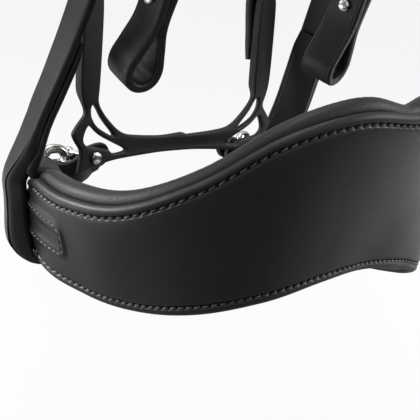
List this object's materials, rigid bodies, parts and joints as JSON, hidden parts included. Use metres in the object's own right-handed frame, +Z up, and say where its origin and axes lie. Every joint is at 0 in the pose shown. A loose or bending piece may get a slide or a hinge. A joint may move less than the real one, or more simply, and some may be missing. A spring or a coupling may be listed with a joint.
{
  "type": "horse show bridle",
  "caption": "Black leather show bridle hung from its crown, with a wide wave shaped padded crank noseband, buckled side straps and a cut jaw plate.",
  "frame": {"origin": "middle of the underside of the crown padding, where the hook that carries the hanging bridle bears", "axes": "+Z up, -Y towards the nose end, +X to the right as seen from the front of the nose; the bridle is symmetric about X = 0 but for one leg strap's tail"},
  "size_m": [0.1518, 0.2391, 0.5047],
  "materials": {
    "black_leather": "smooth semi gloss, dyed black",
    "padding_leather": "soft matt lining leather over foam",
    "bright_metal": "polished nickel plate"
  },
  "bodies": {
    "bridle": {"headpiece": "black_leather", "headpiece_padding": "padding_leather", "browband": "black_leather", "noseband_face": "black_leather", "noseband_padding": "padding_leather", "jaw_plate": "black_leather", "cheekpiece_left": "black_leather", "noseband_hanger_left": "black_leather", "jowl_strap_left": "black_leather", "cheek_buckle_left_frame": "bright_metal", "cheek_keeper_left": "black_leather", "hanger_buckle_left_frame": "bright_metal", "hanger_keeper_left": "black_leather", "jowl_buckle_left_frame": "bright_metal", "jowl_keeper_left": "black_leather", "hook_stud_left": "bright_metal", "crank_tab_left": "black_leather", "crank_ring_left": "bright_metal", "leg_strap_left": "black_leather", "stud_left": "bright_metal", "cheekpiece_right": "black_leather", "noseband_hanger_right": "black_leather", "jowl_strap_right": "black_leather", "cheek_buckle_right_frame": "bright_metal", "cheek_keeper_right": "black_leather", "hanger_buckle_right_frame": "bright_metal", "hanger_keeper_right": "black_leather", "jowl_buckle_right_frame": "bright_metal", "jowl_keeper_right": "black_leather", "hook_stud_right": "bright_metal", "crank_tab_right": "black_leather", "crank_ring_right": "bright_metal", "leg_strap_right": "black_leather", "stud_right": "bright_metal"},
    "cheek_tongue_left": {"cheek_buckle_left_tongue": "bright_metal"},
    "cheek_runner_left": {"cheek_runner_left": "black_leather"},
    "hanger_tongue_left": {"hanger_buckle_left_tongue": "bright_metal"},
    "hanger_runner_left": {"hanger_runner_left": "black_leather"},
    "jowl_tongue_left": {"jowl_buckle_left_tongue": "bright_metal"},
    "jowl_runner_left": {"jowl_runner_left": "black_leather"},
    "crank_roller_left": {"crank_roller_left": "bright_metal"},
    "cheek_tongue_right": {"cheek_buckle_right_tongue": "bright_metal"},
    "cheek_runner_right": {"cheek_runner_right": "black_leather"},
    "hanger_tongue_right": {"hanger_buckle_right_tongue": "bright_metal"},
    "hanger_runner_right": {"hanger_runner_right": "black_leather"},
    "jowl_tongue_right": {"jowl_buckle_right_tongue": "bright_metal"},
    "jowl_runner_right": {"jowl_runner_right": "black_leather"},
    "crank_roller_right": {"crank_roller_right": "bright_metal"}
  },
  "joints": [
    {"name": "cheek_tongue_left_lift", "type": "hinge", "parent": "bridle", "child": "cheek_tongue_left", "pos_m": [-0.0525, -0.0195, -0.182], "axis": [0, -0.9994, -0.0357], "range_deg": [0, 14]},
    {"name": "cheek_runner_left_slide", "type": "slide", "parent": "bridle", "child": "cheek_runner_left", "axis": [0.0208, 0.045, -0.9988], "range_m": [-0.005, 0.008]},
    {"name": "hanger_tongue_left_lift", "type": "hinge", "parent": "bridle", "child": "hanger_tongue_left", "pos_m": [-0.05465, 0.00513, -0.252], "axis": [0, -0.9988, -0.0493], "range_deg": [0, 14]},
    {"name": "hanger_runner_left_slide", "type": "slide", "parent": "bridle", "child": "hanger_runner_left", "axis": [-0.0289, 0.0869, -0.9958], "range_m": [-0.005, 0.008]},
    {"name": "jowl_tongue_left_lift", "type": "hinge", "parent": "bridle", "child": "jowl_tongue_left", "pos_m": [-0.05198, 0.0257, -0.217], "axis": [-0.0204, -0.9984, -0.0528], "range_deg": [0, 14]},
    {"name": "jowl_runner_left_slide", "type": "slide", "parent": "bridle", "child": "jowl_runner_left", "axis": [0.0194, 0.0647, -0.9977], "range_m": [-0.005, 0.008]},
    {"name": "crank_roller_left_turn", "type": "hinge", "parent": "bridle", "child": "crank_roller_left", "pos_m": [-0.0455, 0.04121, -0.46494], "axis": [0, 0.1392, 0.9903], "continuous": true},
    {"name": "cheek_tongue_right_lift", "type": "hinge", "parent": "bridle", "child": "cheek_tongue_right", "pos_m": [0.0525, -0.0195, -0.182], "axis": [0, 0.9994, 0.0357], "range_deg": [0, 14]},
    {"name": "cheek_runner_right_slide", "type": "slide", "parent": "bridle", "child": "cheek_runner_right", "axis": [-0.0208, 0.045, -0.9988], "range_m": [-0.005, 0.008]},
    {"name": "hanger_tongue_right_lift", "type": "hinge", "parent": "bridle", "child": "hanger_tongue_right", "pos_m": [0.05465, 0.00513, -0.252], "axis": [0, 0.9988, 0.0493], "range_deg": [0, 14]},
    {"name": "hanger_runner_right_slide", "type": "slide", "parent": "bridle", "child": "hanger_runner_right", "axis": [0.0289, 0.0869, -0.9958], "range_m": [-0.005, 0.008]},
    {"name": "jowl_tongue_right_lift", "type": "hinge", "parent": "bridle", "child": "jowl_tongue_right", "pos_m": [0.05198, 0.0257, -0.217], "axis": [-0.0204, 0.9984, 0.0528], "range_deg": [0, 14]},
    {"name": "jowl_runner_right_slide", "type": "slide", "parent": "bridle", "child": "jowl_runner_right", "axis": [-0.0194, 0.0647, -0.9977], "range_m": [-0.005, 0.008]},
    {"name": "crank_roller_right_turn", "type": "hinge", "parent": "bridle", "child": "crank_roller_right", "pos_m": [0.0455, 0.04121, -0.46494], "axis": [0, 0.1392, 0.9903], "continuous": true}
  ]
}
